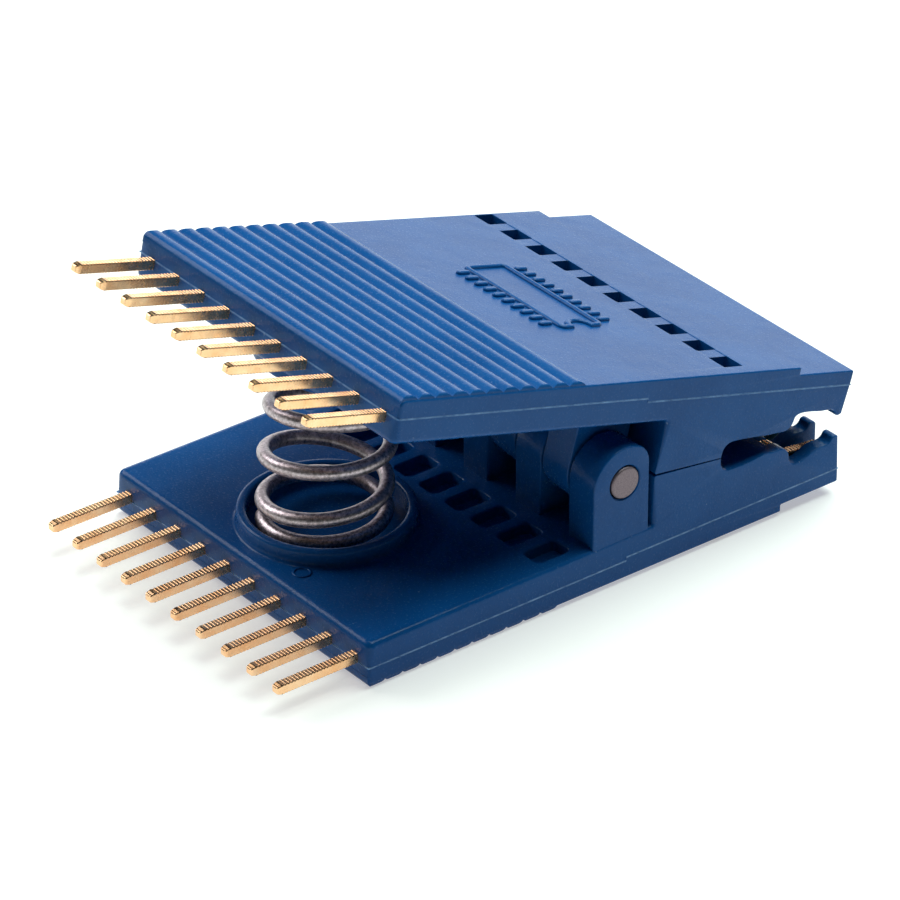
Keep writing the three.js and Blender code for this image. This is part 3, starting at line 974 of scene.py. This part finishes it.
def build_arms(plastic):
    lower = moulding()
    lower.name = "lower_moulding"
    upper = new_object("upper_moulding", lower.data.copy())
    for obj, matrix, body_name in ((lower, LOWER_FRAME, "lower"), (upper, UPPER_FRAME, "upper")):
        dress(obj, plastic)
        weighted = obj.modifiers.new("weighted_normals", "WEIGHTED_NORMAL")
        weighted.keep_sharp = True
        place(obj, matrix, body_name, body_name + "_arm")


def build_contacts(gold):
    pattern = contact_wire("contact_pattern")
    for body_name, matrix in (("lower", LOWER_FRAME), ("upper", UPPER_FRAME)):
        for i in range(CONTACTS):
            label = f"{i + 1:02d}"
            wire = new_object(f"{body_name}_wire_{label}", pattern.data.copy())
            dress(wire, gold)
            wire.data.transform(Matrix.Translation((0, column_y(i) * MM, 0)))
            place(wire, matrix, body_name, f"{body_name}_contact_{label}")
    bpy.data.objects.remove(pattern)


def build_spring(steel):
    spring = bake(dress(spring_coil(), steel), LOWER_FRAME)
    seat = LOWER_FRAME @ (spring_point(0.5) * MM)
    far_seat = LOWER_FRAME @ (spring_point(SPRING_TURNS - 0.5) * MM)
    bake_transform(spring)
    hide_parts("spring")


def build_pin(steel):
    pin = dress(turned_pin(), steel)
    place(pin, LOWER_FRAME, "lower", "pivot_pin")


# ---- stage ---------------------------------------------------------------------------------
VIEW_AZIMUTH = math.radians(-38.05)
VIEW_ELEVATION = math.radians(30.82)
VIEW_DISTANCE = 0.34
VIEW_TARGET = Vector((-0.007434, -0.009723, 0.011877))
VIEW_LENS = 231.5
SENSOR_WIDTH = 36

FLOOR_REACH = 3.0
LIGHT_DISTANCE = 0.9
SKY_COLOUR = (0.9, 0.95, 1.0, 1)
SKY_STRENGTH = 0.02


def direction(azimuth, elevation):
    """Unit vector from the clip to a place in the room. Azimuth 0 is the -Y side, a quarter turn +X."""
    flat = math.cos(elevation)
    return Vector((math.sin(azimuth) * flat, -math.cos(azimuth) * flat, math.sin(elevation)))


def build_camera():
    data = bpy.data.cameras.new("camera")
    data.lens = VIEW_LENS
    data.sensor_width = SENSOR_WIDTH
    data.clip_start = 0.01
    camera = new_object("camera", data)
    back = direction(VIEW_AZIMUTH, VIEW_ELEVATION)
    camera.location = VIEW_TARGET + back * VIEW_DISTANCE
    camera.rotation_euler = (-back).to_track_quat("-Z", "Y").to_euler()
    bpy.context.scene.camera = camera


def area_light(name, azimuth, elevation, size, watts, colour=(1, 1, 1)):
    data = bpy.data.lights.new(name, "AREA")
    data.shape = "RECTANGLE"
    data.size, data.size_y = size
    data.energy = watts
    data.color = colour
    light = new_object(name, data)
    out = direction(math.radians(azimuth), math.radians(elevation))
    light.location = out * LIGHT_DISTANCE
    light.rotation_euler = (-out).to_track_quat("-Z", "Y").to_euler()


def build_stage():
    mesh = bpy.data.meshes.new("floor")
    reach = FLOOR_REACH
    corners = [(-reach, -reach, 0), (reach, -reach, 0), (reach, reach, 0), (-reach, reach, 0)]
    mesh.from_pydata(corners, [], [(0, 1, 2, 3)])
    mesh.materials.append(floor_paper())
    floor = new_object("floor", mesh)
    bake(floor, Matrix.Translation((0, 0, CAD_BOX[0].z)))
    area_light("overhead", 106, 66, (0.8, 0.8), 14, (0.95, 1.1, 1.0))
    area_light("far_left", 200, 35, (0.5, 0.5), 4.5)
    area_light("rear_card", 133, 9, (1.4, 0.36), 2.3)
    world = bpy.data.worlds.new("studio")
    world.use_nodes = True
    background = world.node_tree.nodes["Background"]
    background.inputs["Color"].default_value = SKY_COLOUR
    background.inputs["Strength"].default_value = SKY_STRENGTH
    bpy.context.scene.world = world
    bpy.context.scene.view_settings.view_transform = "Standard"


build_camera()
build_stage()
build_arms(moulded_blue())
build_contacts(gold_plate())
build_spring(spring_steel())
build_pin(turned_steel())
